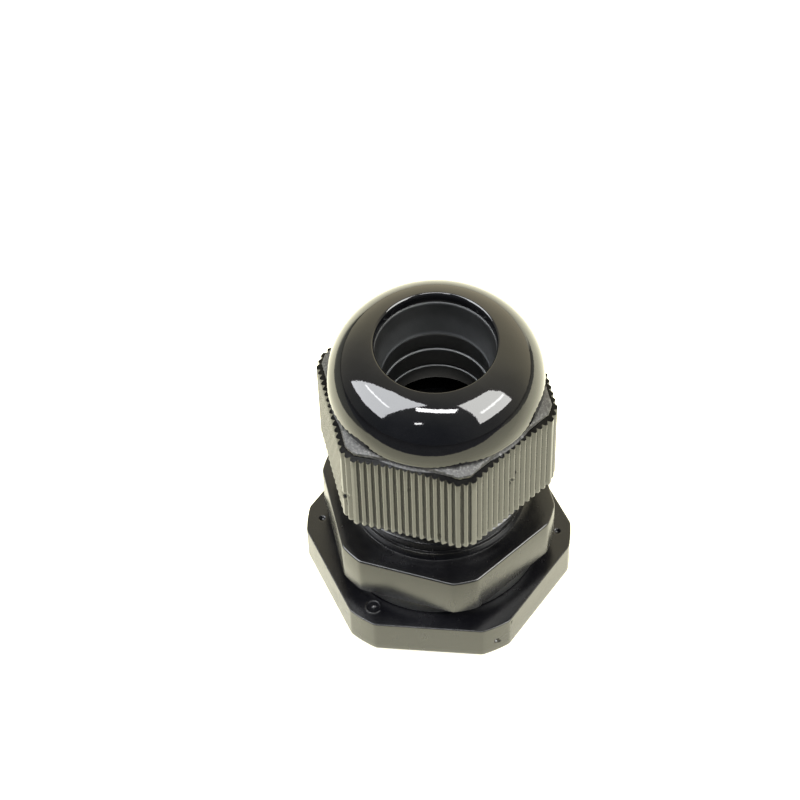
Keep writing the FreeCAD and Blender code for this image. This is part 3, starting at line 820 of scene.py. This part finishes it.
def area(name, centre, x_axis, y_axis, size, radiance, colour=(1, 1, 1)):
    """Light panel: its centre and axes counted as the photographer sees them, in metres."""
    data = bpy.data.lights.new(name, "AREA")
    data.shape = "RECTANGLE"
    data.size, data.size_y = size
    data.energy = radiance * math.pi * size[0] * size[1]
    data.color = colour
    o = bpy.data.objects.new(name, data)
    bpy.context.scene.collection.objects.link(o)
    c = studio(*centre) + Vector((0, 0, 0.02))
    x, y = studio(*x_axis).normalized(), studio(*y_axis).normalized()
    z = x.cross(y)
    if z.dot(c) < 0:        # the panel shines along its -Z, towards the gland
        x, z = -x, -z
    m = Matrix.Identity(4)
    for i in range(3):
        m[i][0], m[i][1], m[i][2], m[i][3] = x[i], y[i], z[i], c[i]
    o.matrix_world = m
    o.visible_camera = False
    return o


# ----------------------------------------------------------------------- build
make_camera()
make_stage()
area("panel_left", (-0.4083, -0.0348, 0.6871), (0.7605, -0.6312, -0.1527), (0.1492, -0.0591, 0.987), (0.549, 1.031), 12.0, (0.95, 0.97, 1.0))
area("panel_right", (0.4869, -0.2018, 0.6018), (-0.8304, -0.5563, -0.0326), (-0.1464, 0.1613, 0.976), (0.464, 0.78), 12.5, (1.0, 1.0, 0.97))

def strip(name, first, last, width, radiance, distance=0.6):
    """Thin light between two directions seen from the gland."""
    a, b = Vector(first).normalized(), Vector(last).normalized()
    mid = (a + b).normalized()
    x = (b - a)
    x = x - mid * x.dot(mid)
    y = mid.cross(x)
    area(name, tuple(mid * distance), tuple(x), tuple(y), (x.length * distance, width), radiance)


strip("tube_left", (-0.762, 0.126, 0.635), (-0.610, -0.330, 0.715), 0.026, 11.0)
strip("tube_right", (0.812, -0.129, 0.569), (0.590, -0.510, 0.628), 0.042, 10.0)
strip("window_gap", (-0.250, -0.330, 0.905), (0.240, -0.420, 0.875), 0.070, 31.0)
strip("lamp_far", (-0.335, -0.708, 0.624), (-0.225, -0.716, 0.660), 0.034, 22.0)

mat_body = plastic("nylon_body", (0.0012, 0.0012, 0.0016), (0.0030, 0.0030, 0.0036), 0.19, 0.29)
mat_cap = cap_nylon("nylon_cap")
mat_nut = plastic("nylon_nut", (0.0012, 0.0012, 0.0018), (0.0030, 0.0030, 0.0038), 0.19, 0.29)
mat_rub = insert_rubber("rubber_insert")
mat_gsk = rubber("rubber_gasket")


def place(obj, body, nodes, slot, mat):
    obj.data.materials.clear()
    obj.data.materials.append(mat)
    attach(obj, body)
    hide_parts(*nodes)
    return obj


place(make_body(), "gland_body", ["gland_body"], "body_nylon", mat_body)
for k in range(12):
    place(make_finger(k), "finger_%02d" % (k + 1), ["clamp_finger_%02d" % (k + 1)], "body_nylon", mat_body)
place(make_insert(), "insert", ["sealing_insert"], "insert_rubber", mat_rub)
place(make_cap(), "cap", ["dome_cap"], "cap_nylon", mat_cap)
place(make_gasket(), "gasket", ["panel_gasket"], "gasket_rubber", mat_gsk)
place(make_nut(), "locknut", ["locknut"], "nut_nylon", mat_nut)

view = bpy.context.scene.view_settings
view.view_transform = "Standard"
view.look = "None"
